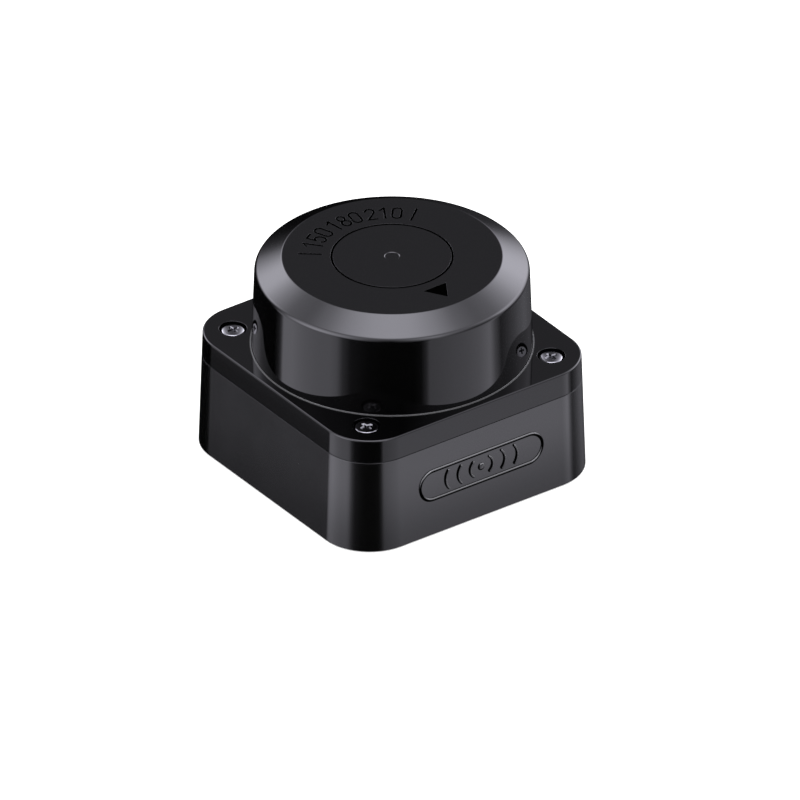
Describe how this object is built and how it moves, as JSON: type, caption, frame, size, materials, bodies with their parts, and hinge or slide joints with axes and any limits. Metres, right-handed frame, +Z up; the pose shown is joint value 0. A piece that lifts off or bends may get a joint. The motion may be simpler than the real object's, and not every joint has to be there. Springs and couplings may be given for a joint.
{
  "type": "lidar scanner module",
  "caption": "Square spinning laser distance scanner with a gloss black infrared dome, screwed top cover and a motor-driven scanning core that turns inside on ball bearings.",
  "frame": {"origin": "centre of the flat underside, on the scanning core's spin axis", "axes": "+Z up along the spin axis; -Y is the front, the side with the badge and the zero-angle arrow; +Y is the rear, with the cable socket; +X completes the right-handed frame"},
  "size_m": [0.0556, 0.0556, 0.0413],
  "materials": {
    "base_plastic": "satin black moulding",
    "cover_plastic": "smooth gloss black moulding",
    "dome_plastic": "polished infrared-pass black moulding, satin top disc",
    "seal_rubber": "soft black",
    "label_film": "matt silver-grey film",
    "circuit_board": "solder-masked laminate",
    "chip_epoxy": "moulded epoxy",
    "socket_nylon": "natural nylon",
    "turned_aluminium": "fine turned",
    "lamination_steel": "stamped and pressed",
    "copper_wire": "enamelled copper winding",
    "moulded_black": "fine-textured black moulding",
    "ferrite": "sintered ferrite",
    "bearing_steel": "ground and polished",
    "cage_brass": "plain brass",
    "insert_brass": "knurled brass insert",
    "bright_steel": "bright plated steel",
    "magnet_nickel": "nickel-plated magnet",
    "tinned_pin": "tin plate",
    "coated_lens": "violet anti-reflection coating",
    "gold_can": "gold-plated can"
  },
  "bodies": {
    "base": {"base_housing": "base_plastic", "top_cover": "cover_plastic", "optical_dome": "dome_plastic", "cover_gasket": "seal_rubber", "rating_label": "label_film", "control_board": "circuit_board", "controller_chip": "chip_epoxy", "motor_driver_chip": "chip_epoxy", "link_receiver": "chip_epoxy", "cable_socket": "socket_nylon", "bearing_tube": "turned_aluminium", "stator_core": "lamination_steel", "stator_winding": "copper_wire", "coil_carrier": "moulded_black", "ferrite_ring_lower": "ferrite", "power_coil_lower": "copper_wire", "photo_interrupter": "moulded_black", "lower_bearing_outer_race": "bearing_steel", "upper_bearing_outer_race": "bearing_steel", "cover_screw_1": "bright_steel", "mount_insert_1": "insert_brass", "socket_pin_1": "tinned_pin", "cover_screw_2": "bright_steel", "mount_insert_2": "insert_brass", "socket_pin_2": "tinned_pin", "cover_screw_3": "bright_steel", "mount_insert_3": "insert_brass", "socket_pin_3": "tinned_pin", "cover_screw_4": "bright_steel", "mount_insert_4": "insert_brass", "socket_pin_4": "tinned_pin", "motor_screw_1": "bright_steel", "motor_screw_2": "bright_steel", "motor_screw_3": "bright_steel"},
    "scan_rotor": {"lower_bearing_inner_race": "bearing_steel", "upper_bearing_inner_race": "bearing_steel", "rotor_shaft": "bright_steel", "shaft_clip": "bearing_steel", "rotor_bell": "lamination_steel", "magnet_ring": "magnet_nickel", "turntable": "moulded_black", "encoder_ring": "moulded_black", "ferrite_ring_upper": "ferrite", "power_coil_upper": "copper_wire", "rotor_board": "circuit_board", "link_emitter": "chip_epoxy", "optics_block": "moulded_black", "receiver_lens": "coated_lens", "emitter_lens": "coated_lens", "laser_diode": "gold_can", "detector_chip": "chip_epoxy", "bandpass_filter": "coated_lens", "optics_board": "circuit_board", "counterweight": "cage_brass", "rotor_screw_1": "bright_steel", "rotor_screw_2": "bright_steel", "optics_screw_1": "bright_steel", "optics_screw_2": "bright_steel"},
    "lower_cage": {"lower_bearing_ball_cage": "cage_brass"},
    "upper_cage": {"upper_bearing_ball_cage": "cage_brass"}
  },
  "joints": [
    {"name": "rotor_spin", "type": "hinge", "parent": "base", "child": "scan_rotor", "pos_m": [0, 0, 0.011], "axis": [0, 0, 1], "continuous": true},
    {"name": "lower_cage_roll", "type": "hinge", "parent": "base", "child": "lower_cage", "pos_m": [0, 0, 0.0081], "axis": [0, 0, 1], "continuous": true},
    {"name": "upper_cage_roll", "type": "hinge", "parent": "base", "child": "upper_cage", "pos_m": [0, 0, 0.0119], "axis": [0, 0, 1], "continuous": true}
  ],
  "couplings": [
    {"joint": "lower_cage_roll", "follows": "rotor_spin", "ratio": 0.42676},
    {"joint": "upper_cage_roll", "follows": "rotor_spin", "ratio": 0.42676}
  ]
}
